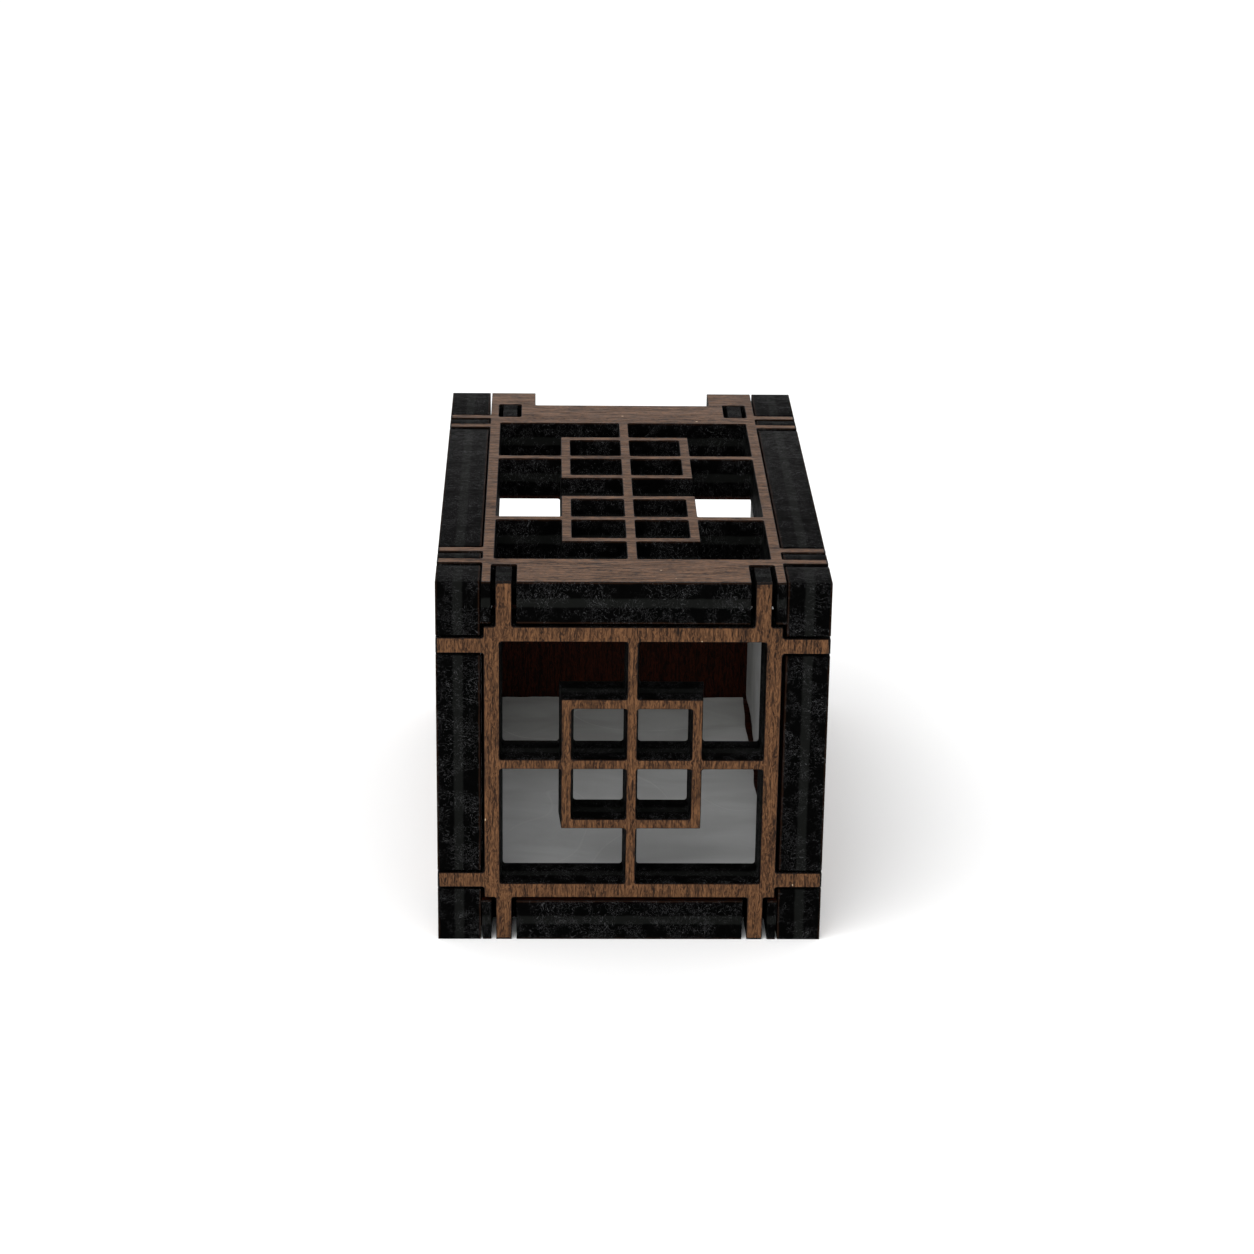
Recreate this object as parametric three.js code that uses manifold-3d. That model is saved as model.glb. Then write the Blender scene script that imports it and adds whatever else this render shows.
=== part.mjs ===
// A small lattice box that goes together without glue: six panels whose tabs, forks and posts pass
// through slots in their neighbours. Each panel is two laser-cut veneered boards glued face to face,
// and sheets of paper line the floor and the two side walls.
//
// Millimetres. +Z is up, the front faces -Y, and the origin is on the floor under the box's centre.
import Module from 'manifold-3d';
import * as THREE from 'three';
import { mergeVertices } from 'three/addons/utils/BufferGeometryUtils.js';

const wasm = await Module();
wasm.setup();

// Overall size
const width = 50;
const depth = 80;
const height = 50;

// Boards and paper
const board = 2.75;
const glueLine = 0.1;
const paper = 0.2;
const paperGap = 0.05;

// Clearances
const seatGap = 0.5;
const topSlotGap = 0.65;
const sideSlotGap = 0.4;
const slotBackGap = 0.85;
const rearSlotGap = 0.35;
const forkGap = 0.85;
const postGap = 0.5;
const sideShift = 0.35;

// Frame members
const stile = 1.95;
const topStile = 1.15;
const frontStrip = 2.05;
const rearStrip = 2.55;
const recess = 6;
const earWidth = 6.15;

// Joinery
const tab = 2;
const tabOffset = 2.5;
const finger = 1.4;
const post = 1.8;
const frontForkOffset = 3.8;
const rearForkOffset = 2.1;

// Lattice
const bar = 1.25;
const square = 18;
const middleExtra = 0.9;

// Rear panel's window
const headRailHeight = 6.5;
const windowHeight = 5;

// Paper sheets
const paperEndGap = 0.5;
const paperLap = 0.3;
const paperRearLap = 0.9;

const walnut = '#5c4433';
const shadedWalnut = '#463326';
const white = '#e6e3da';

// Places that several pieces share
const thickness = 2 * board + glueLine;
const inset = thickness + seatGap;
const tabCentre = inset + tabOffset;
const frontFace = -depth / 2;
const rearFace = depth / 2 - recess;
const rearInnerFace = rearFace - thickness;
const slotDepth = thickness + slotBackGap;
const rearSlot = { v0: rearInnerFace - rearSlotGap, v1: rearFace + rearSlotGap };
const forkSlot = post + 2 * postGap;
const forkHalf = forkSlot / 2 + finger;
const forkCentres = [frontFace + inset + frontForkOffset, rearInnerFace - rearForkOffset];
const longField = { v0: frontFace + slotDepth + frontStrip, v1: rearSlot.v0 - rearStrip };

const axisX = new THREE.Vector3(1, 0, 0);
const axisY = new THREE.Vector3(0, 1, 0);
const axisZ = new THREE.Vector3(0, 0, 1);

// Panels are drawn in their own plane, in u across and v along.
function rectangle(u0, u1, v0, v1) {
  return [[u0, v0], [u1, v0], [u1, v1], [u0, v1]];
}

// Outline of a panel whose sides have square steps. A step [from, to, out] stands out by out, or
// cuts in where out is negative. low and high are the sides at v0 and v1, left and right at u0 and u1.
function steppedOutline({ u0, u1, v0, v1 }, { low = [], right = [], high = [], left = [] }) {
  const run = (steps, place) => steps.flatMap(([from, to, out]) => (
    [place(from, 0), place(from, out), place(to, out), place(to, 0)]
  ));
  const backwards = (steps) => steps.map(([from, to, out]) => [to, from, out]).reverse();
  return [
    [u0, v0],
    ...run(low, (at, out) => [at, v0 - out]),
    [u1, v0],
    ...run(right, (at, out) => [u1 + out, at]),
    [u1, v1],
    ...run(backwards(high), (at, out) => [at, v1 + out]),
    [u0, v1],
    ...run(backwards(left), (at, out) => [u0 - out, at]),
  ];
}

// Two equal steps, each centred the same distance in from one end of a side.
function stepPair(low, high, inFromEnd, size, out) {
  return [low + inFromEnd, high - inFromEnd].map((at) => [at - size / 2, at + size / 2, out]);
}

// Square centres, spaced evenly along a field with a little more room between them than at its ends.
function squareCentres({ v0, v1 }) {
  const margin = (v1 - v0 - 2 * square - middleExtra) / 3;
  return [v0 + margin + square / 2, v1 - margin - square / 2];
}

// The open cells of a lattice field: one bar along v at mid-width, a bar across through each square's
// centre, and the square's own bars.
function latticeCells({ u0, u1, v0, v1 }, centres) {
  const middle = (u0 + u1) / 2;
  const half = square / 2;
  const cells = [];
  for (const side of [-1, 1]) {
    const edge = side < 0 ? u0 : u1;
    const barEdge = middle + side * bar / 2;
    const squareEdge = middle + side * half;
    for (const centre of centres) {
      for (const way of [-1, 1]) {
        const near = centre + way * bar / 2;
        const far = centre + way * (half - bar);
        cells.push(rectangle(barEdge, middle + side * (half - bar), near, far));
      }
    }
    for (let i = 0; i <= centres.length; i += 1) {
      const before = centres[i - 1];
      const after = centres[i];
      const start = before === undefined ? v0 : before + bar / 2;
      const end = after === undefined ? v1 : after - bar / 2;
      const stepIn = before === undefined ? [[barEdge, start]]
        : [[squareEdge, start], [squareEdge, before + half], [barEdge, before + half]];
      const stepOut = after === undefined ? [[barEdge, end]]
        : [[barEdge, after - half], [squareEdge, after - half], [squareEdge, end]];
      cells.push([[edge, start], ...stepIn, ...stepOut, [edge, end]]);
    }
  }
  return cells;
}

// A solid plate of the given outline, from z to z + rise in its own frame.
function plate(outline, z, rise) {
  const shape = new THREE.Shape(outline.map(([x, y]) => new THREE.Vector2(x, y)));
  const extruded = new THREE.ExtrudeGeometry(shape, { depth: rise, bevelEnabled: false });
  extruded.translate(0, 0, z);
  extruded.deleteAttribute('normal');
  extruded.deleteAttribute('uv');
  const merged = mergeVertices(extruded);
  return new wasm.Manifold(new wasm.Mesh({
    numProp: 3,
    vertProperties: merged.attributes.position.array,
    triVerts: new Uint32Array(merged.index.array),
  }));
}

function geometryOf(solid) {
  const { vertProperties, triVerts } = solid.getMesh();
  const geometry = new THREE.BufferGeometry();
  geometry.setAttribute('position', new THREE.BufferAttribute(vertProperties, 3));
  geometry.setIndex(new THREE.BufferAttribute(triVerts, 1));
  geometry.computeVertexNormals();
  return geometry;
}

// A flat sheet cut to an outline with openings, at a distance along u x v from the origin.
function sheet(name, { outline, openings = [] }, { u, v }, at, rise, colour, roughness) {
  const through = (points) => plate(points, -rise, 3 * rise);
  const cut = (solid, points) => solid.subtract(through(points));
  const geometry = geometryOf(openings.reduce(cut, plate(outline, 0, rise)));
  const material = new THREE.MeshStandardMaterial({ color: colour, roughness, metalness: 0 });
  const mesh = new THREE.Mesh(geometry, material);
  const w = new THREE.Vector3().crossVectors(u, v);
  mesh.quaternion.setFromRotationMatrix(new THREE.Matrix4().makeBasis(u, v, w));
  mesh.position.copy(w).multiplyScalar(at);
  mesh.name = name;
  return mesh;
}

// A panel of two boards. outer and inner are the places of its two faces along u x v.
function panel(name, cut, plane, outer, inner) {
  const inward = Math.sign(inner - outer);
  const outerAt = Math.min(outer, outer + inward * board);
  const innerAt = Math.min(inner, inner - inward * board);
  const group = new THREE.Group();
  group.add(sheet(`${name}_outer_board`, cut, plane, outerAt, board, walnut, 0.6));
  group.add(sheet(`${name}_inner_board`, cut, plane, innerAt, board, shadedWalnut, 0.65));
  return group;
}

// The front and rear panels: a square frame with two tabs on each side.
const endFrame = { u0: -width / 2 + inset, u1: width / 2 - inset, v0: inset, v1: height - inset };
const endTabsAcross = stepPair(-width / 2, width / 2, tabCentre, tab, inset);
const endTabsUp = stepPair(0, height, tabCentre, tab, inset);
const endField = {
  u0: endFrame.u0 + stile,
  u1: endFrame.u1 - stile,
  v0: endFrame.v0 + stile,
  v1: endFrame.v1 - stile,
};
const endCells = latticeCells(endField, [height / 2]);
const endOutline = steppedOutline(endFrame, {
  low: endTabsAcross,
  high: endTabsAcross,
  left: endTabsUp,
  right: endTabsUp,
});
const frontCut = { outline: endOutline, openings: endCells };

// The rear panel is solid up to its sill. Above that, three bars carry a head rail, and the window
// runs out to the side panels on both sides.
const windowTop = endFrame.v1 - headRailHeight;
const sill = windowTop - windowHeight;
const barsHalf = square / 2;
const [lowTab, highTab] = endTabsUp;
const windowSide = [sill, windowTop, barsHalf - endFrame.u1];
const rearCut = {
  outline: steppedOutline(endFrame, {
    low: endTabsAcross,
    high: endTabsAcross,
    left: [lowTab, windowSide, highTab],
    right: [lowTab, windowSide, highTab],
  }),
  openings: [-1, 1].map((side) => (
    rectangle(side * bar / 2, side * (barsHalf - bar), sill, windowTop)
  )),
};

// The top and bottom panels: slots for the front panel's posts, forks over the side panels, closed
// slots for the rear panel's posts, and two ears behind it.
const lidFrame = { u0: -width / 2 + inset, u1: width / 2 - inset, v0: frontFace, v1: depth / 2 };
const forkFingers = forkCentres.flatMap((centre) => [
  [centre - forkHalf, centre - forkSlot / 2, inset],
  [centre + forkSlot / 2, centre + forkHalf, inset],
]);
const topSlots = stepPair(-width / 2, width / 2, tabCentre, tab + 2 * topSlotGap, -slotDepth);
const lidCut = {
  outline: steppedOutline(lidFrame, {
    low: topSlots,
    high: [[lidFrame.u0 + earWidth, lidFrame.u1 - earWidth, -recess]],
    left: forkFingers,
    right: forkFingers,
  }),
  openings: [
    ...topSlots.map(([from, to]) => rectangle(from, to, rearSlot.v0, rearSlot.v1)),
    ...latticeCells(
      { u0: lidFrame.u0 + topStile, u1: lidFrame.u1 - topStile, ...longField },
      squareCentres(longField),
    ),
  ],
};

// The side panels, drawn with u up: slots for the end panels' tabs, and notches with a post in each
// that the forks drop over.
const sideFrame = { u0: 0, u1: height, v0: frontFace, v1: depth / 2 };
const forkNotches = forkCentres.flatMap((centre) => {
  const middle = centre - sideShift;
  return [
    [middle - forkHalf - forkGap, middle - post / 2, -inset],
    [middle + post / 2, middle + forkHalf + forkGap, -inset],
  ];
});
const sideSlots = stepPair(0, height, tabCentre, tab + 2 * sideSlotGap, -slotDepth);
const sideCut = {
  outline: steppedOutline(sideFrame, {
    low: sideSlots,
    high: [[inset + earWidth, height - inset - earWidth, -recess]],
    left: forkNotches,
    right: forkNotches,
  }),
  openings: [
    ...sideSlots.map(([from, to]) => rectangle(from, to, rearSlot.v0, rearSlot.v1)),
    ...latticeCells({ u0: endField.v0, u1: endField.v1, ...longField }, squareCentres(longField)),
  ],
};

// Paper linings: one laid on the bottom panel, one against the inside of each side panel.
const liningEnds = [frontFace + thickness + paperEndGap, rearInnerFace - paperEndGap];
const wallPaperFace = width / 2 - thickness - paperGap;
const floorHalf = wallPaperFace - paper - paperEndGap;
const floorCut = { outline: rectangle(-floorHalf, floorHalf, ...liningEnds) };
const wallCut = {
  outline: rectangle(
    endField.v0 - paperLap,
    height - inset,
    liningEnds[0],
    longField.v1 + paperRearLap,
  ),
};

const acrossBox = { u: axisX, v: axisZ };
const overBox = { u: axisX, v: axisY };
const alongBox = { u: axisZ, v: axisY };

const box = new THREE.Group();
box.add(panel('front_panel', frontCut, acrossBox, -frontFace, -frontFace - thickness));
box.add(panel('rear_panel', rearCut, acrossBox, -rearFace, -rearInnerFace));
box.add(panel('top_panel', lidCut, overBox, height, height - thickness));
box.add(panel('bottom_panel', lidCut, overBox, 0, thickness));
box.add(panel('left_panel', sideCut, alongBox, width / 2, width / 2 - thickness));
box.add(panel('right_panel', sideCut, alongBox, -width / 2, -width / 2 + thickness));
box.add(sheet('floor_paper', floorCut, overBox, thickness + paperGap, paper, white, 0.9));
box.add(sheet('left_wall_paper', wallCut, alongBox, wallPaperFace - paper, paper, white, 0.9));
box.add(sheet('right_wall_paper', wallCut, alongBox, -wallPaperFace, paper, white, 0.9));

export default box;
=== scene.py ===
"""Looks of a small lattice puzzle box: laser-cut veneered boards in pairs, and paper linings."""

import math

import bpy
from mathutils import Matrix, Vector, noise


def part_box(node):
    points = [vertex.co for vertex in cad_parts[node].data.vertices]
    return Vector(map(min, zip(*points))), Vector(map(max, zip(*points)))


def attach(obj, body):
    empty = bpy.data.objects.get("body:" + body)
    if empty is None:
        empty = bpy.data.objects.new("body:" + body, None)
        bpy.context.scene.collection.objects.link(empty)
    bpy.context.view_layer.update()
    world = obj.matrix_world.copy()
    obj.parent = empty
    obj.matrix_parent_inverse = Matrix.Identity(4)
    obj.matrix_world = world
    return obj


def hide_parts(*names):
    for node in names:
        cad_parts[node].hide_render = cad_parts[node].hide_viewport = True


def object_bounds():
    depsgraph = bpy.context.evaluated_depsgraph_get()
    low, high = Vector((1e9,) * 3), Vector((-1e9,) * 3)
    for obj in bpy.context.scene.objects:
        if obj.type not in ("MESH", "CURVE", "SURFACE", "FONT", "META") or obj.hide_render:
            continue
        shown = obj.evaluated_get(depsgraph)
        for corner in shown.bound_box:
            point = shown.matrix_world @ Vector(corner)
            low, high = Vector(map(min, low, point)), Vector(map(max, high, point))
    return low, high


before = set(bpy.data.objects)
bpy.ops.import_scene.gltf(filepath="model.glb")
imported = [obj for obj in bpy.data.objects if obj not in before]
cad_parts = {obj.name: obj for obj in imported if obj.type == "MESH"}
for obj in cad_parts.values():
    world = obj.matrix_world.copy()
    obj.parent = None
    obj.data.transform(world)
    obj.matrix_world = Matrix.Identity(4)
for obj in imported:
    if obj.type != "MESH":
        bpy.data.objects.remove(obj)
cad_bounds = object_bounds()

bl_info = {
    "name": "Lattice puzzle box",
    "version": (1, 0, 0),
    "blender": (4, 5, 0),
    "location": "View3D > Sidebar > Puzzle box",
    "description": "Builds the boards, paper linings and stage of a lattice puzzle box",
    "category": "Object",
}

MM = 0.001
AXES = {"X": Vector((1, 0, 0)), "Y": Vector((0, 1, 0)), "Z": Vector((0, 0, 1))}


def linear(code):
    """A linear RGBA colour from an sRGB hex code."""
    parts = [int(code[i:i + 2], 16) / 255 for i in (1, 3, 5)]
    curve = [p / 12.92 if p <= 0.04045 else ((p + 0.055) / 1.055) ** 2.4 for p in parts]
    return (*curve, 1.0)


def add(tree, kind, values=None, **settings):
    """Adds a node with its settings, and sets or links its inputs, which are named or numbered."""
    node = tree.nodes.new(kind)
    node.location = (190 * (len(tree.nodes) % 12), -260 * (len(tree.nodes) // 12))
    for name, value in settings.items():
        setattr(node, name, value)
    for key, value in (values or {}).items():
        socket = node.inputs[key] if isinstance(key, int) else next(
            s for s in node.inputs if s.name == key and s.enabled)
        if isinstance(value, bpy.types.NodeSocket):
            tree.links.new(value, socket)
        else:
            socket.default_value = value
    return node


# Settings

class BoardSettings(bpy.types.PropertyGroup):
    """Sizes and colours of the laser-cut boards."""
    corner: bpy.props.FloatProperty(
        name="Inside corner", description="Radius the beam leaves in an inside corner",
        default=0.38 * MM, unit="LENGTH", precision=5)
    tip: bpy.props.FloatProperty(
        name="Outside corner", description="Radius burnt off an outside corner",
        default=0.1 * MM, unit="LENGTH", precision=5)
    lean: bpy.props.FloatProperty(
        name="Kerf lean",
        description="How far a lattice bar's walls stand out at the panel's inner face",
        default=0.33 * MM, unit="LENGTH", precision=5)
    joint_lean: bpy.props.FloatProperty(
        name="Joint lean", description="The same for tabs, forks, posts and slots",
        default=0.02 * MM, unit="LENGTH", precision=5)
    arris: bpy.props.FloatProperty(
        name="Burnt arris", description="Width of the rounded edge between a face and a cut wall",
        default=0.03 * MM, unit="LENGTH", precision=5)
    scorch: bpy.props.FloatProperty(
        name="Scorched rim", description="Width of the browned rim of a face beside a cut",
        default=0.05 * MM, unit="LENGTH", precision=5)
    veneer: bpy.props.FloatVectorProperty(
        name="Veneer", description="Middle colour of the walnut veneer",
        subtype="COLOR", size=4, default=linear("#2c1a0f"), min=0, max=1)
    veneer_light: bpy.props.FloatVectorProperty(
        name="Light figure", description="Colour of the veneer's light streaks",
        subtype="COLOR", size=4, default=linear("#6c4a2f"), min=0, max=1)
    veneer_dark: bpy.props.FloatVectorProperty(
        name="Dark figure", description="Colour of the veneer's dark streaks",
        subtype="COLOR", size=4, default=linear("#150b06"), min=0, max=1)
    pore: bpy.props.FloatVectorProperty(
        name="Pores", description="Colour inside the veneer's open pores",
        subtype="COLOR", size=4, default=linear("#0e0704"), min=0, max=1)
    char: bpy.props.FloatVectorProperty(
        name="Char", description="Colour of the burnt plywood core",
        subtype="COLOR", size=4, default=linear("#020202"), min=0, max=1)
    bond: bpy.props.FloatVectorProperty(
        name="Bonded veneers", description="Colour of the paler band where two boards meet",
        subtype="COLOR", size=4, default=linear("#101110"), min=0, max=1)


class LiningSettings(bpy.types.PropertyGroup):
    """Sizes and colour of the paper linings."""
    wave: bpy.props.FloatProperty(
        name="Wave", description="Height of the waves in the paper",
        default=0.3 * MM, unit="LENGTH", precision=5)
    colour: bpy.props.FloatVectorProperty(
        name="Paper", description="Colour of the paper",
        subtype="COLOR", size=4, default=linear("#d2d3d3"), min=0, max=1)


class StageSettings(bpy.types.PropertyGroup):
    """Floor, lights and camera."""
    floor: bpy.props.FloatVectorProperty(
        name="Floor", description="Colour of the floor",
        subtype="COLOR", size=4, default=linear("#fdfdfd"), min=0, max=1)
    sky: bpy.props.FloatProperty(
        name="Surround", description="Brightness of the white surround at the horizon", default=2.0)
    zenith: bpy.props.FloatProperty(
        name="Ceiling", description="Brightness of the white surround overhead", default=0.45)
    key: bpy.props.FloatProperty(
        name="Key light", description="Power of the large soft light", default=5.6, unit="POWER")
    lens: bpy.props.FloatProperty(
        name="Lens", description="Focal length of the camera", default=90.52, unit="CAMERA")


# Boards

# Each panel: the direction its outer face looks, the axis its veneer's grain runs along, and the
# share of the full kerf lean its cells have
PANELS = {
    "front": ("-Y", "Z", 1.0),
    "rear": ("+Y", "Z", 1.0),
    "top": ("+Z", "X", 0.55),
    "bottom": ("-Z", "X", 0.55),
    "left": ("-X", "Y", 0.55),
    "right": ("+X", "Y", 0.55),
}

# The least and greatest span of a lattice cell, and each board's share of the glue line, in mm
CELL_SPAN = (4.0, 30.0)
GLUE = 0.05
# How much further the ends of tabs and posts are burnt than other edges
TIP_BURN = 4.0
# The widest gap at a seat in mm, how much of it is closed at the panel's inner face, and how much
# of it the top and bottom panels' forks close through their whole thickness
SEAT = 0.7
SEAT_CLOSED = 0.85
FORK_CLOSED = 0.55
# Corners closer than this are one, and a face lies within this of its level, in mm
WELD = 0.0002
LEVEL = 0.01


def face_loops(node, basis, level):
    """The closed outlines of a CAD board's face at a level along the basis' third axis.

    Each is a list of (corner, way in, way out) in millimetres in the board's own plane. The ways
    are the directions of the edges that meet at the corner, with the wood on their left.
    """
    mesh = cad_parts[node].data
    flat = [basis.transposed() @ v.co / MM for v in mesh.vertices]
    edges = set()
    for polygon in mesh.polygons:
        corners = [flat[i] for i in polygon.vertices]
        if all(abs(c.z - level) < 0.001 for c in corners):
            keys = [(round(c.x, 3), round(c.y, 3)) for c in corners]
            if keys[0] != keys[1] and keys[1] != keys[2] and keys[2] != keys[0]:
                for pair in zip(keys, keys[1:] + keys[:1]):
                    if pair[::-1] in edges:
                        edges.remove(pair[::-1])
                    else:
                        edges.add(pair)
    follows = dict(edges)
    loops = []
    while follows:
        start, point = follows.popitem()
        loop = [start]
        while point != start:
            loop.append(point)
            point = follows.pop(point)
        ways = [Vector(b) - Vector(a) for a, b in zip(loop, loop[1:] + loop[:1])]
        ways = [w.normalized() for w in ways]
        turns = [i for i in range(len(loop)) if ways[i - 1].dot(ways[i]) < 0.99]
        loops.append([(loop[i], ways[i - 1], ways[i]) for i in turns])
    return loops


def wood_side(way):
    """The step of one millimetre from an edge into the wood."""
    return Vector((-way.y, way.x, 0.0))


def neighbour_faces():
    """Where the faces that the panels' edges butt against lie, by axis, in millimetres."""
    faces = {}
    for axis, panels in enumerate((("left", "right"), ("front", "rear"), ("bottom", "top"))):
        boxes = [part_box(f"{name}_panel_inner_board") for name in panels]
        faces[axis] = (boxes[0][1][axis] / MM, boxes[1][0][axis] / MM)
    return faces


def edge_marks(corner, wood, basis, lean, faces):
    """For an edge: how far it is moved out, how much further out its wall is at the panel's inner
    face, both in mm, and how burnt it is.

    Nothing may stand out of the box, and an edge that butts against a neighbour's face nearly
    closes the gap there, which is what holds the panels. The top and bottom panels' forks do so
    through their whole thickness.
    """
    outward = -(basis @ wood)
    axis = max(range(3), key=lambda i: abs(outward[i]))
    way = 1 if outward[axis] > 0 else -1
    at = (basis @ Vector((*corner, 0.0)))[axis]
    limit = cad_bounds[1 if way > 0 else 0][axis] / MM
    if abs(limit - at) < LEVEL:
        return 0.0, 0.0, TIP_BURN
    gap = (faces[axis][1 if way > 0 else 0] - at) * way
    if not 0.0 < gap < SEAT:
        return 0.0, lean, 1.0
    closed = FORK_CLOSED if abs(basis.col[2].z) > 0.5 else 0.0
    return closed * gap, (SEAT_CLOSED - closed) * gap, 1.0


def board_tree(corner_steps):
    """Geometry nodes that turn the outlines of a laser-cut board into the board, in millimetres.

    The board stands on its glued face at zero, and its good face is up. The beam rounds the corners
    and leaves leaning walls, a burnt arris and a scorched rim. Each corner of the outlines carries
    its radius, the step into the wood, and the step out that the panel's inner face is given. Of
    that step, the shares at the board's glued face and good face depend on which board it is.
    """
    tree = bpy.data.node_groups.new("laser_cut_board", "GeometryNodeTree")
    face = tree.interface
    face.new_socket("Outlines", in_out="INPUT", socket_type="NodeSocketGeometry")
    for name in ("Thickness", "Glued Share", "Good Share", "Arris", "Scorched Rim"):
        face.new_socket(name, in_out="INPUT", socket_type="NodeSocketFloat")
    for name in ("Face Material", "Cut Material"):
        face.new_socket(name, in_out="INPUT", socket_type="NodeSocketMaterial")
    face.new_socket("Board", in_out="OUTPUT", socket_type="NodeSocketGeometry")
    given = add(tree, "NodeGroupInput").outputs

    def named(name, kind):
        return add(tree, "GeometryNodeInputNamedAttribute", {"Name": name},
                   data_type=kind).outputs[0]

    # Outlines to a flat sheet with rounded corners
    curve = add(tree, "GeometryNodeMeshToCurve", {"Mesh": given["Outlines"]}).outputs[0]
    rounded = add(tree, "GeometryNodeFilletCurve", {
        "Curve": curve, "Count": corner_steps, "Radius": named("round", "FLOAT"),
        "Limit Radius": True,
    }, mode="POLY").outputs[0]
    filled = add(tree, "GeometryNodeFillCurve", {"Curve": rounded}, mode="TRIANGLES").outputs[0]
    points = add(tree, "GeometryNodeCurveToPoints", {"Curve": rounded},
                 mode="EVALUATED").outputs["Points"]
    nearest = add(tree, "GeometryNodeSampleNearest", {"Geometry": points},
                  domain="POINT").outputs[0]
    sheet = filled
    for name in ("inward", "outward"):
        carried = add(tree, "GeometryNodeSampleIndex", {
            "Geometry": points, "Value": named(name, "FLOAT_VECTOR"), "Index": nearest,
        }, data_type="FLOAT_VECTOR", domain="POINT").outputs[0]
        sheet = add(tree, "GeometryNodeStoreNamedAttribute", {
            "Geometry": sheet, "Name": name, "Value": carried,
        }, data_type="FLOAT_VECTOR", domain="POINT").outputs[0]
    start = add(tree, "ShaderNodeVectorMath", {
        0: named("outward", "FLOAT_VECTOR"), "Scale": given["Glued Share"]},
        operation="SCALE").outputs[0]
    sheet = add(tree, "GeometryNodeSetPosition", {"Geometry": sheet, "Offset": start}).outputs[0]
    sheet = add(tree, "GeometryNodeStoreNamedAttribute", {
        "Geometry": sheet, "Name": "scorch", "Value": 1.0,
    }, data_type="FLOAT", domain="POINT").outputs[0]
    back = add(tree, "GeometryNodeFlipFaces", {"Mesh": sheet}).outputs[0]

    # Levels from the glued face to the good face: share of the thickness, share of the arris'
    # depth, how far the outline steps as shares of the lean, the arris and the rim, then the scorch
    levels = (
        (0.45, 0.0, 0.45, 0.0, 0.0, 1.0),
        (0.55, -1.6, 0.55, 0.0, 0.0, 1.0),
        (0.0, 1.0, 0.0, 0.3, 0.0, 1.0),
        (0.0, 0.6, 0.0, 0.7, 0.0, 1.0),
        (0.0, 0.0, 0.0, 0.0, 0.35, 0.9),
        (0.0, 0.0, 0.0, 0.0, 0.65, 0.0),
    )

    def summed(*pairs):
        total = None
        for socket, share in pairs:
            part = add(tree, "ShaderNodeMath", {0: socket, 1: share},
                       operation="MULTIPLY").outputs[0]
            total = part if total is None else add(
                tree, "ShaderNodeMath", {0: total, 1: part}, operation="ADD").outputs[0]
        return total

    mesh, top = sheet, True
    for rise, drop, lean, arris, rim, burnt in levels:
        up = summed((given["Thickness"], rise), (given["Arris"], drop))
        step = add(tree, "ShaderNodeCombineXYZ", {"Z": up}).outputs[0]
        grown = add(tree, "GeometryNodeExtrudeMesh", {
            "Mesh": mesh, "Selection": top, "Offset": step, "Offset Scale": 1.0,
            "Individual": False}, mode="FACES")
        top = grown.outputs["Top"]
        narrower = summed((given["Arris"], arris), (given["Scorched Rim"], rim))
        inwards = add(tree, "ShaderNodeVectorMath", {
            0: named("inward", "FLOAT_VECTOR"), "Scale": narrower}, operation="SCALE").outputs[0]
        gained = summed((given["Good Share"], lean), (given["Glued Share"], -lean))
        back_in = add(tree, "ShaderNodeVectorMath", {
            0: named("outward", "FLOAT_VECTOR"), "Scale": gained}, operation="SCALE").outputs[0]
        shift = add(tree, "ShaderNodeVectorMath", {0: inwards, 1: back_in},
                    operation="ADD").outputs[0]
        mesh = add(tree, "GeometryNodeSetPosition", {
            "Geometry": grown.outputs["Mesh"], "Selection": top, "Offset": shift}).outputs[0]
        mesh = add(tree, "GeometryNodeStoreNamedAttribute", {
            "Geometry": mesh, "Selection": top, "Name": "scorch", "Value": burnt,
        }, data_type="FLOAT", domain="POINT").outputs[0]
    whole = add(tree, "GeometryNodeJoinGeometry")
    tree.links.new(back, whole.inputs[0])
    tree.links.new(mesh, whole.inputs[0])
    closed = add(tree, "GeometryNodeMergeByDistance", {
        "Geometry": whole.outputs[0], "Distance": WELD}).outputs[0]

    # Depth below the good face, for the plies that the cut walls show
    at = add(tree, "GeometryNodeInputPosition").outputs[0]
    height = add(tree, "ShaderNodeSeparateXYZ", {0: at}).outputs["Z"]
    depth = add(tree, "ShaderNodeMath", {0: given["Thickness"], 1: height},
                operation="SUBTRACT").outputs[0]
    marked = add(tree, "GeometryNodeStoreNamedAttribute", {
        "Geometry": closed, "Name": "through", "Value": depth,
    }, data_type="FLOAT", domain="POINT").outputs[0]
    good = add(tree, "ShaderNodeMath", {0: depth, 1: LEVEL}, operation="LESS_THAN").outputs[0]
    finished = add(tree, "GeometryNodeRealizeInstances", {"Geometry": marked}).outputs[0]
    finished = add(tree, "GeometryNodeSetMaterial", {
        "Geometry": finished, "Material": given["Cut Material"]}).outputs[0]
    finished = add(tree, "GeometryNodeSetMaterial", {
        "Geometry": finished, "Selection": good, "Material": given["Face Material"]}).outputs[0]
    add(tree, "NodeGroupOutput", {"Board": finished})
    return tree


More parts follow.
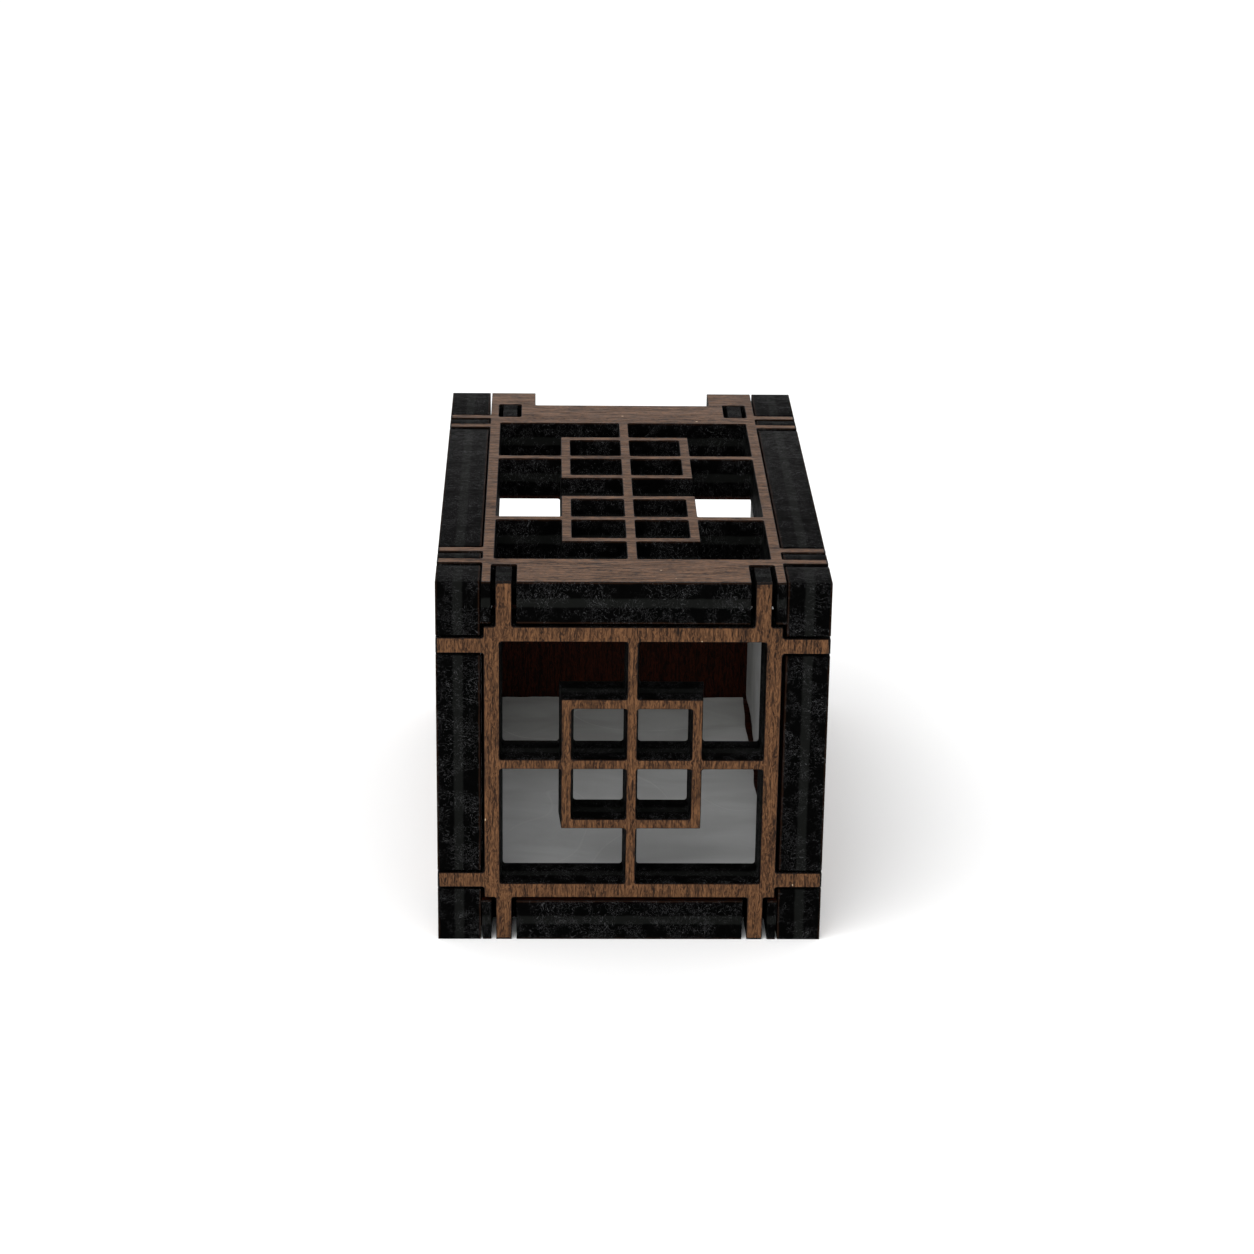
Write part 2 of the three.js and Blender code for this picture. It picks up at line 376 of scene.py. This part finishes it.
def cut_board(tree, settings, node, outward, shares, lean_share, face_material, cut_material):
    """Makes a board from its CAD node's outline.

    outward is the way its good face looks, and shares how much of the panel's lean it has at its
    glued face and its good face.
    """
    across = AXES["Y"] if abs(outward.x) > 0.5 else AXES["X"]
    up = outward.cross(across)
    basis = Matrix((across, up, outward)).transposed()
    low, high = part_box(node)
    ends = sorted((low.dot(outward) / MM, high.dot(outward) / MM))
    faces = neighbour_faces()
    loops = face_loops(node, basis, ends[1])
    corners, joins, inward, outward_steps, rounds = [], [], [], [], []
    for loop in loops:
        first = len(corners)
        span = [max(p[i] for p, _, _ in loop) - min(p[i] for p, _, _ in loop) for i in (0, 1)]
        is_cell = CELL_SPAN[0] < min(span) and max(span) < CELL_SPAN[1]
        for place, before, after in loop:
            lean = settings.lean * lean_share if is_cell else settings.joint_lean
            moved, into, out_of = Vector((*place, 0.0)), Vector(), Vector()
            for wood in (wood_side(before), wood_side(after)):
                move, out, burn = edge_marks(place, wood, basis, lean / MM, faces)
                moved -= move * wood
                into += burn * wood
                out_of -= out * wood
            corners.append(moved[:])
            inward.append(into)
            outward_steps.append(out_of)
            outside = before.x * after.y - before.y * after.x > 0
            rounds.append((settings.tip if outside else settings.corner) / MM)
        count = len(corners) - first
        joins += [(first + i, first + (i + 1) % count) for i in range(count)]
    flat = bpy.data.meshes.new(node + "_outline")
    flat.from_pydata(corners, joins, [])
    for name, steps in (("inward", inward), ("outward", outward_steps)):
        flat.attributes.new(name, "FLOAT_VECTOR", "POINT").data.foreach_set(
            "vector", [n for v in steps for n in v])
    flat.attributes.new("round", "FLOAT", "POINT").data.foreach_set("value", rounds)
    maker = bpy.data.objects.new(node + "_maker", flat)
    bpy.context.scene.collection.objects.link(maker)
    cut = maker.modifiers.new("cut", "NODES")
    cut.node_group = tree
    given = {
        "Thickness": ends[1] - ends[0] + GLUE,
        "Glued Share": shares[0],
        "Good Share": shares[1],
        "Arris": settings.arris / MM,
        "Scorched Rim": settings.scorch / MM,
        "Face Material": face_material,
        "Cut Material": cut_material,
    }
    for item in tree.interface.items_tree:
        if item.name in given:
            cut[item.identifier] = given[item.name]
    bpy.context.view_layer.update()
    solved = maker.evaluated_get(bpy.context.evaluated_depsgraph_get())
    mesh = bpy.data.meshes.new_from_object(solved)
    bpy.data.objects.remove(maker)
    lift = Matrix.Translation(outward * (ends[0] - GLUE) * MM)
    mesh.transform(lift @ basis.to_4x4() @ Matrix.Scale(MM, 4))
    mesh.polygons.foreach_set("use_smooth", [True] * len(mesh.polygons))
    mesh.set_sharp_from_angle(angle=math.radians(40))
    for name in ("inward", "outward", "round"):
        if name in mesh.attributes:
            mesh.attributes.remove(mesh.attributes[name])
    mesh.name = node
    return mesh


def direction(name):
    """The unit vector of an axis named with its sign."""
    return AXES[name[1]] * (1 if name[0] == "+" else -1)


def make_panels(names):
    """Builds both boards of each named panel and hands them to the frame."""
    settings = bpy.context.scene.puzzle_box_boards
    tree = bpy.data.node_groups.get("laser_cut_board") or board_tree(corner_steps=4)
    for name in names:
        looks, grain, lean_share = PANELS[name]
        cut_material = charred_edge(looks[1])
        for layer, side, shares in (("outer", 1, (0.5, 0.0)), ("inner", -1, (0.5, 1.0))):
            node = f"{name}_panel_{layer}_board"
            # Inner boards take the veneer with painted shade, darker and redder, for the dim inside
            # of the box
            mesh = cut_board(tree, settings, node, direction(looks) * side, shares, lean_share,
                             walnut_veneer(grain, smoked=layer == "inner"), cut_material)
            piece = bpy.data.objects.new(f"{name}_{layer}_veneered_board", mesh)
            bpy.context.scene.collection.objects.link(piece)
            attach(piece, name)
            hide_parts(node)


# Materials

# How a Map Range node eases between its ends
SMOOTH = "SMOOTHSTEP"


def fresh(name):
    """A new material with an empty node tree."""
    material = bpy.data.materials.new(name)
    material.use_nodes = True
    tree = material.node_tree
    tree.nodes.clear()
    return material, tree


def stretched(tree, scale, axis, share):
    """Object coordinates at so many cells to the millimetre, and a share of that along an axis."""
    at = add(tree, "ShaderNodeTexCoord").outputs["Object"]
    scales = [scale / MM * (share if name == axis else 1) for name in "XYZ"]
    return add(tree, "ShaderNodeMapping", {"Vector": at, "Scale": scales}).outputs[0]


def noisy(tree, scale, axis, share, detail=3.0, distortion=0.0, roughness=0.5,
          span=None, to=(0.0, 1.0)):
    """Noise on stretched coordinates, taken from span into the range to where span is given."""
    value = add(tree, "ShaderNodeTexNoise", {
        "Vector": stretched(tree, scale, axis, share), "Scale": 1.0, "Detail": detail,
        "Roughness": roughness, "Distortion": distortion}).outputs["Fac"]
    if span is None:
        return value
    return add(tree, "ShaderNodeMapRange", {
        "Value": value, "From Min": span[0], "From Max": span[1],
        "To Min": to[0], "To Max": to[1]}, interpolation_type=SMOOTH).outputs[0]


def layered(tree, colour, *layers):
    """A colour with others laid over it in turn, each as far as its factor says."""
    for factor, other in layers:
        colour = add(tree, "ShaderNodeMix", {0: factor, 6: colour, 7: other},
                     data_type="RGBA").outputs[2]
    return colour


def walnut_veneer(grain, smoked):
    """American walnut veneer, sliced 0.5 mm thick, sanded and left bare.

    It looks matt, with broad dark and light figure, curly golden flecks 0.3 mm wide, and open
    pores 0.15 mm wide and some millimetres long. Beside a laser cut it is browned. The faces
    turned to the inside are painted much darker and redder, as painted shade for the dim inside.
    """
    name = f"walnut_veneer_{'smoked' if smoked else 'sanded'}_grain_{grain.lower()}"
    if name in bpy.data.materials:
        return bpy.data.materials[name]
    s = bpy.context.scene.puzzle_box_boards
    dark, light = tuple(s.veneer_dark), tuple(s.veneer_light)
    material, tree = fresh(name)

    # Figure, streaks, flecks and pores, from the broadest to the finest
    figure = noisy(tree, 0.35, grain, 0.14, 3.0, 1.6, span=(0.35, 0.65))
    streak = noisy(tree, 1.6, grain, 0.08, 4.0, 1.6, 0.6, span=(0.38, 0.62))
    ripple = noisy(tree, 2.4, grain, 0.24, 4.0, 2.2, 0.65, span=(0.42, 0.6))
    pores = noisy(tree, 4.0, grain, 0.09, 2.0, 0.6, span=(0.58, 0.66))
    deep = add(tree, "ShaderNodeMapRange", {"Value": pores, "To Max": 0.6},
               interpolation_type=SMOOTH).outputs[0]
    colour = layered(tree, dark, (figure, tuple(s.veneer)))
    colour = layered(tree, colour, (streak, layered(tree, colour, (0.75, light))))
    colour = layered(tree, colour, (0.5, layered(tree, dark, (ripple, light))),
                     (deep, tuple(s.pore)))

    # A few specks of dust caught in the pores
    specks = add(tree, "ShaderNodeTexVoronoi", {
        "Vector": stretched(tree, 0.8, grain, 0.7), "Scale": 1.0}, feature="F1").outputs
    chance = add(tree, "ShaderNodeSeparateColor", {0: specks["Color"]}).outputs[0]
    few = add(tree, "ShaderNodeMapRange", {"Value": chance, "From Min": 0.95, "From Max": 0.96},
              interpolation_type=SMOOTH).outputs[0]
    speck = add(tree, "ShaderNodeMapRange", {
        "Value": specks["Distance"], "From Min": 0.06, "From Max": 0.12,
        "To Min": 1.0, "To Max": 0.0}, interpolation_type=SMOOTH).outputs[0]
    speck = add(tree, "ShaderNodeMath", {0: speck, 1: few}, operation="MULTIPLY").outputs[0]
    colour = layered(tree, colour, (speck, linear("#b59a7c")))

    # The scorched rim, with a ragged edge
    burnt = add(tree, "ShaderNodeAttribute", attribute_name="scorch").outputs["Fac"]
    rag = noisy(tree, 2.2, grain, 1.0, span=(0.3, 0.7), to=(-0.25, 0.25))
    ragged = add(tree, "ShaderNodeMath", {0: burnt, 1: rag}, operation="ADD").outputs[0]
    rim = add(tree, "ShaderNodeMapRange", {"Value": ragged, "From Min": 0.25, "From Max": 0.85},
              interpolation_type=SMOOTH).outputs[0]
    # Painted shade: the inside faces are multiplied darker and redder to stand for the dim inside
    # of the box
    if smoked:
        colour = add(tree, "ShaderNodeMix", {0: 1.0, 6: colour, 7: linear("#8f5a2f")},
                     data_type="RGBA", blend_type="MULTIPLY").outputs[2]
    colour = layered(tree, colour, (rim, tuple(s.char)))

    height = add(tree, "ShaderNodeMath", {0: streak, 1: pores}, operation="SUBTRACT").outputs[0]
    bump = add(tree, "ShaderNodeBump", {
        "Height": height, "Strength": 0.35, "Distance": 0.03 * MM}).outputs[0]
    rough = add(tree, "ShaderNodeMapRange", {"Value": streak, "To Min": 0.62, "To Max": 0.5},
                interpolation_type=SMOOTH).outputs[0]
    shader = add(tree, "ShaderNodeBsdfPrincipled", {
        "Base Color": colour, "Roughness": rough, "Normal": bump,
        "Specular IOR Level": 0.1}).outputs[0]
    add(tree, "ShaderNodeOutputMaterial", {"Surface": shader})
    return material


def charred_edge(normal):
    """The wall of a laser cut in veneered plywood: char on a poplar core, wiped but not sanded.

    It is a dead black that turns slate where light grazes it. The face veneer shows as a thin
    brown line, the bonded veneers at the joint as a paler band, and rubbing has left fine
    scratches.
    """
    name = f"charred_plywood_edge_{normal.lower()}"
    if name in bpy.data.materials:
        return bpy.data.materials[name]
    s = bpy.context.scene.puzzle_box_boards
    material, tree = fresh(name)

    # Depth below the good face in millimetres, wandering a little as the plies do
    depth = add(tree, "ShaderNodeAttribute", attribute_name="through").outputs["Fac"]
    wander = noisy(tree, 0.5, normal, 0.2, span=(0.3, 0.7), to=(-0.06, 0.06))
    depth = add(tree, "ShaderNodeMath", {0: depth, 1: wander}, operation="ADD").outputs[0]
    patchy = noisy(tree, 1.2, normal, 0.8, 5.0, 0.4, 0.65)
    patch = add(tree, "ShaderNodeMapRange", {"Value": patchy, "From Min": 0.4, "From Max": 0.8},
                interpolation_type=SMOOTH).outputs[0]
    band = add(tree, "ShaderNodeMapRange", {"Value": depth, "From Min": 2.05, "From Max": 2.35},
               interpolation_type=SMOOTH).outputs[0]
    line = add(tree, "ShaderNodeMapRange", {
        "Value": depth, "From Min": 0.14, "From Max": 0.26, "To Min": 0.8, "To Max": 0.0},
        interpolation_type=SMOOTH).outputs[0]
    colour = layered(tree, tuple(s.char), (patch, linear("#040404")), (band, tuple(s.bond)),
                     (line, linear("#1c110b")))

    # Curly scratches of two sizes, in patches
    for scale, bend, width, low in ((0.8, 2.4, 0.007, 0.42), (1.7, 2.2, 0.009, 0.48)):
        curl = noisy(tree, scale, normal, 0.8, 2.0, bend)
        curl = add(tree, "ShaderNodeMath", {0: curl, 1: 0.5, 2: width},
                   operation="COMPARE").outputs[0]
        where = noisy(tree, scale * 0.3, normal, 1.0, span=(low, low + 0.12))
        scratch = add(tree, "ShaderNodeMath", {0: curl, 1: where}, operation="MULTIPLY").outputs[0]
        scratch = add(tree, "ShaderNodeMapRange", {"Value": scratch, "To Max": 0.8},
                      interpolation_type=SMOOTH).outputs[0]
        colour = layered(tree, colour, (scratch, linear("#3b3b3c")))

    combed = noisy(tree, 5.0, normal, 0.08, 2.0)
    height = add(tree, "ShaderNodeMath", {0: combed, 1: patchy}, operation="ADD").outputs[0]
    bump = add(tree, "ShaderNodeBump", {
        "Height": height, "Strength": 0.5, "Distance": 0.05 * MM}).outputs[0]
    rough = add(tree, "ShaderNodeMapRange", {
        "Value": patchy, "From Min": 0.3, "From Max": 0.7, "To Min": 0.45, "To Max": 0.65},
        interpolation_type=SMOOTH).outputs[0]
    shader = add(tree, "ShaderNodeBsdfPrincipled", {
        "Base Color": colour, "Roughness": rough, "Normal": bump,
        "Specular IOR Level": 0.006}).outputs[0]
    add(tree, "ShaderNodeOutputMaterial", {"Surface": shader})
    return material


def lining_paper():
    """Thin white calendered paper, glued down by hand, greyed toward the rear of the box as painted
    shade.

    It is matt, with soft cockles, grey smudges some millimetres wide, and a few creases drawn paler
    as painted highlight.
    """
    name = "calendered_paper"
    if name in bpy.data.materials:
        return bpy.data.materials[name]
    s = bpy.context.scene.puzzle_box_linings
    material, tree = fresh(name)
    along = add(tree, "ShaderNodeSeparateXYZ", {
        0: add(tree, "ShaderNodeTexCoord").outputs["Object"]}).outputs["Y"]
    cloud = noisy(tree, 0.14, "X", 0.5, 4.0, 0.8, span=(0.3, 0.7), to=(-0.12, 0.12))
    # Painted shade: the paper greys from front to rear along Y, with random grey smudges laid on
    # top
    painted_shade_and_smudges = add(tree, "ShaderNodeMapRange", {
        "Value": along, "From Min": -22 * MM, "From Max": 26 * MM,
        "To Min": 0.1, "To Max": 0.85}, interpolation_type=SMOOTH).outputs[0]
    painted_shade_and_smudges = add(tree, "ShaderNodeMath", {0: painted_shade_and_smudges, 1: cloud},
               operation="ADD", use_clamp=True).outputs[0]

    # Creases lie where a slow noise crosses its middle value
    crease = noisy(tree, 0.035, "X", 1.0, 1.0, 0.6)
    crease = add(tree, "ShaderNodeMath", {0: crease, 1: 0.5}, operation="SUBTRACT").outputs[0]
    crease = add(tree, "ShaderNodeMath", {0: crease}, operation="ABSOLUTE").outputs[0]
    crease = add(tree, "ShaderNodeMapRange", {
        "Value": crease, "From Max": 0.004, "To Min": 1.0, "To Max": 0.0},
        interpolation_type=SMOOTH).outputs[0]
    # The creases are drawn paler: painted highlight for light catching the folds
    crease_highlight = add(tree, "ShaderNodeMapRange", {"Value": crease, "To Max": 0.12},
                interpolation_type=SMOOTH).outputs[0]
    colour = layered(tree, tuple(s.colour), (painted_shade_and_smudges, linear("#8d8d8a")), (crease_highlight, linear("#f6f5f2")))

    fibre = noisy(tree, 3.0, "X", 1.0, 4.0)
    height = add(tree, "ShaderNodeMath", {0: fibre, 1: crease}, operation="ADD").outputs[0]
    bump = add(tree, "ShaderNodeBump", {
        "Height": height, "Strength": 0.4, "Distance": 0.05 * MM}).outputs[0]
    shader = add(tree, "ShaderNodeBsdfPrincipled", {
        "Base Color": colour, "Roughness": 0.85, "Normal": bump,
        "Specular IOR Level": 0.3}).outputs[0]
    add(tree, "ShaderNodeOutputMaterial", {"Surface": shader})
    return material


# Paper linings

# The size of a sheet's cells, how ragged its cut edges are, and how wide the ragged rim is
PAPER_CELL = 0.8 * MM
PAPER_RAG = 0.4 * MM
PAPER_RIM = 0.02


def paper_sheet(node, name, body, run, away, seed):
    """Lays a waved sheet where the CAD has a flat one.

    run is the axis across the sheet's waves, and away the way the waves rise.
    """
    settings = bpy.context.scene.puzzle_box_linings
    low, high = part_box(node)
    sizes = high - low
    flat_axis = min(range(3), key=lambda i: sizes[i])
    u, v = [i for i in range(3) if i != flat_axis]
    steps_u, steps_v = (max(8, round(sizes[i] / PAPER_CELL)) for i in (u, v))
    rise = away[flat_axis]
    base = low[flat_axis] if rise > 0 else high[flat_axis]
    thick = sizes[flat_axis]
    points, faces = [], []
    for layer in (0, 1):
        for i in range(steps_u + 1):
            for j in range(steps_v + 1):
                at = Vector((0, 0, 0))
                fu, fv = i / steps_u, j / steps_v
                at[u] = low[u] + sizes[u] * fu
                at[v] = low[v] + sizes[v] * fv
                for axis, share, other in ((u, fu, fv), (v, fv, fu)):
                    edge = min(share, 1 - share)
                    if edge < PAPER_RIM:
                        ragged = noise.noise(Vector((other * 9 + seed, share * 3, seed * 1.7)))
                        at[axis] += (0.5 - share) * 2 * abs(ragged) * PAPER_RAG
                phase = at[run] / MM
                cross = at[u + v - run] / MM if run in (u, v) else 0.0
                swell = noise.noise(Vector((phase * 0.16 + seed, cross * 0.03, seed)))
                swell += 0.4 * noise.noise(Vector((phase * 0.45, cross * 0.1, seed + 5.0)))
                wave = max(0.0, 0.5 + 0.7 * swell) * settings.wave
                at[flat_axis] = base + rise * (wave + layer * thick)
                points.append(at)
    row = steps_v + 1
    count = (steps_u + 1) * row
    for i in range(steps_u):
        for j in range(steps_v):
            a, b, c, d = i * row + j, (i + 1) * row + j, (i + 1) * row + j + 1, i * row + j + 1
            faces.append((a, d, c, b))
            faces.append((a + count, b + count, c + count, d + count))
    rim = [i * row for i in range(steps_u)] + [steps_u * row + j for j in range(steps_v)]
    rim += [i * row + steps_v for i in range(steps_u, 0, -1)] + [j for j in range(steps_v, 0, -1)]
    for a, b in zip(rim, rim[1:] + rim[:1]):
        faces.append((a, b, b + count, a + count))
    mesh = bpy.data.meshes.new(name)
    mesh.from_pydata([p[:] for p in points], [], faces)
    along_u, along_v = Vector((0, 0, 0)), Vector((0, 0, 0))
    along_u[u], along_v[v] = 1.0, 1.0
    if along_u.cross(along_v)[flat_axis] * rise < 0:
        mesh.flip_normals()
    mesh.polygons.foreach_set("use_smooth", [True] * len(mesh.polygons))
    mesh.set_sharp_from_angle(angle=math.radians(50))
    mesh.materials.append(lining_paper())
    piece = bpy.data.objects.new(name, mesh)
    bpy.context.scene.collection.objects.link(piece)
    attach(piece, body)
    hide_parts(node)


# Operators

class PUZZLEBOX_OT_end_panels(bpy.types.Operator):
    """Cut the front and rear panels"""
    bl_idname = "puzzlebox.end_panels"
    bl_label = "End panels"

    def execute(self, context):
        make_panels(("front", "rear"))
        return {"FINISHED"}


class PUZZLEBOX_OT_lid_panels(bpy.types.Operator):
    """Cut the top and bottom panels"""
    bl_idname = "puzzlebox.lid_panels"
    bl_label = "Top and bottom panels"

    def execute(self, context):
        make_panels(("top", "bottom"))
        return {"FINISHED"}


class PUZZLEBOX_OT_side_panels(bpy.types.Operator):
    """Cut the left and right panels"""
    bl_idname = "puzzlebox.side_panels"
    bl_label = "Side panels"

    def execute(self, context):
        make_panels(("left", "right"))
        return {"FINISHED"}


class PUZZLEBOX_OT_linings(bpy.types.Operator):
    """Lay the paper on the floor and the side walls"""
    bl_idname = "puzzlebox.linings"
    bl_label = "Paper linings"

    def execute(self, context):
        paper_sheet("floor_paper", "floor_lining_paper", "bottom", 1, Vector((0, 0, 1)), 3.1)
        paper_sheet("left_wall_paper", "left_lining_paper", "left", 1, Vector((1, 0, 0)), 7.7)
        paper_sheet("right_wall_paper", "right_lining_paper", "right", 1, Vector((-1, 0, 0)), 12.4)
        return {"FINISHED"}


# Where the large soft light hangs, what it looks at, and its size, in metres
KEY_PLACE = Vector((-0.3, -0.46, 0.84))
KEY_TARGET = Vector((0, 0, 0.02))
KEY_SIZE = 0.8
# The camera's place in metres, and its yaw, downward pitch and roll in degrees
CAMERA_PLACE = (-0.010867, -0.410084, 0.189064)
CAMERA_TURNS = (-1.5547, 21.397, 0.785)


class PUZZLEBOX_OT_stage(bpy.types.Operator):
    """Set up the pale floor, the soft lights and the camera"""
    bl_idname = "puzzlebox.stage"
    bl_label = "Stage"

    def execute(self, context):
        scene = context.scene
        s = scene.puzzle_box_stage
        radius, sides = 4.0, 96
        turns = [i * math.tau / sides for i in range(sides)]
        mesh = bpy.data.meshes.new("studio_floor")
        mesh.from_pydata([(radius * math.cos(t), radius * math.sin(t), 0.0) for t in turns], [],
                         [tuple(range(sides))])
        material, tree = fresh("white_studio_paper")
        tone = noisy(tree, 0.01, "X", 1.0, 3.0, span=(0.3, 0.7))
        dull = layered(tree, tuple(s.floor), (0.1, linear("#e8e8e8")))
        colour = layered(tree, tuple(s.floor), (tone, dull))
        shader = add(tree, "ShaderNodeBsdfPrincipled", {
            "Base Color": colour, "Roughness": 0.9, "Specular IOR Level": 0.1}).outputs[0]
        add(tree, "ShaderNodeOutputMaterial", {"Surface": shader})
        mesh.materials.append(material)
        floor = bpy.data.objects.new("studio_floor", mesh)
        scene.collection.objects.link(floor)

        world = bpy.data.worlds.new("white_surround")
        world.use_nodes = True
        world.node_tree.nodes.clear()
        way = add(world.node_tree, "ShaderNodeTexCoord").outputs["Generated"]
        height = add(world.node_tree, "ShaderNodeSeparateXYZ", {0: way}).outputs["Z"]
        strength = add(world.node_tree, "ShaderNodeMapRange", {
            "Value": height, "To Min": s.sky, "To Max": s.zenith}).outputs[0]
        glow = add(world.node_tree, "ShaderNodeBackground", {
            "Color": (1, 1, 1, 1), "Strength": strength})
        add(world.node_tree, "ShaderNodeOutputWorld", {"Surface": glow.outputs[0]})
        scene.world = world
        scene.view_settings.view_transform = "Standard"

        lamp = bpy.data.lights.new("key_light", "AREA")
        lamp.size = KEY_SIZE
        lamp.energy = s.key
        holder = bpy.data.objects.new("key_light", lamp)
        turn = (KEY_TARGET - KEY_PLACE).to_track_quat("-Z", "Y").to_matrix().to_4x4()
        holder.matrix_world = Matrix.Translation(KEY_PLACE) @ turn
        scene.collection.objects.link(holder)

        yaw, pitch, roll = (math.radians(a) for a in CAMERA_TURNS)
        ahead = Vector((-math.sin(yaw) * math.cos(pitch), math.cos(yaw) * math.cos(pitch),
                        -math.sin(pitch)))
        level = Vector((math.cos(yaw), math.sin(yaw), 0.0))
        above = level.cross(ahead)
        right = math.cos(roll) * level + math.sin(roll) * above
        up = -math.sin(roll) * level + math.cos(roll) * above
        camera = bpy.data.cameras.new("camera")
        camera.sensor_width = 36.0
        camera.lens = s.lens
        camera.clip_start = 0.01
        holder = bpy.data.objects.new("camera", camera)
        turn = Matrix((right, up, -ahead)).transposed().to_4x4()
        holder.matrix_world = Matrix.Translation(CAMERA_PLACE) @ turn
        scene.collection.objects.link(holder)
        scene.camera = holder
        return {"FINISHED"}


class PUZZLEBOX_PT_sidebar(bpy.types.Panel):
    """The box's pieces and stage"""
    bl_idname = "PUZZLEBOX_PT_sidebar"
    bl_label = "Puzzle box"
    bl_space_type = "VIEW_3D"
    bl_region_type = "UI"
    bl_category = "Puzzle box"

    def draw(self, context):
        for operator in OPERATORS:
            self.layout.operator(operator.bl_idname)
        for name, _ in SETTINGS:
            column = self.layout.column()
            group = getattr(context.scene, name)
            for setting in group.bl_rna.properties:
                if setting.identifier not in ("rna_type", "name"):
                    column.prop(group, setting.identifier)


OPERATORS = (
    PUZZLEBOX_OT_stage,
    PUZZLEBOX_OT_end_panels,
    PUZZLEBOX_OT_lid_panels,
    PUZZLEBOX_OT_side_panels,
    PUZZLEBOX_OT_linings,
)
SETTINGS = (
    ("puzzle_box_boards", BoardSettings),
    ("puzzle_box_linings", LiningSettings),
    ("puzzle_box_stage", StageSettings),
)


def register():
    for name, group in SETTINGS:
        bpy.utils.register_class(group)
        setattr(bpy.types.Scene, name, bpy.props.PointerProperty(type=group))
    for operator in OPERATORS:
        bpy.utils.register_class(operator)
    bpy.utils.register_class(PUZZLEBOX_PT_sidebar)


def unregister():
    bpy.utils.unregister_class(PUZZLEBOX_PT_sidebar)
    for operator in reversed(OPERATORS):
        bpy.utils.unregister_class(operator)
    for name, group in reversed(SETTINGS):
        delattr(bpy.types.Scene, name)
        bpy.utils.unregister_class(group)


def main():
    register()
    bpy.ops.puzzlebox.stage()
    bpy.ops.puzzlebox.end_panels()
    bpy.ops.puzzlebox.lid_panels()
    bpy.ops.puzzlebox.side_panels()
    bpy.ops.puzzlebox.linings()


if __name__ == "__main__":
    main()
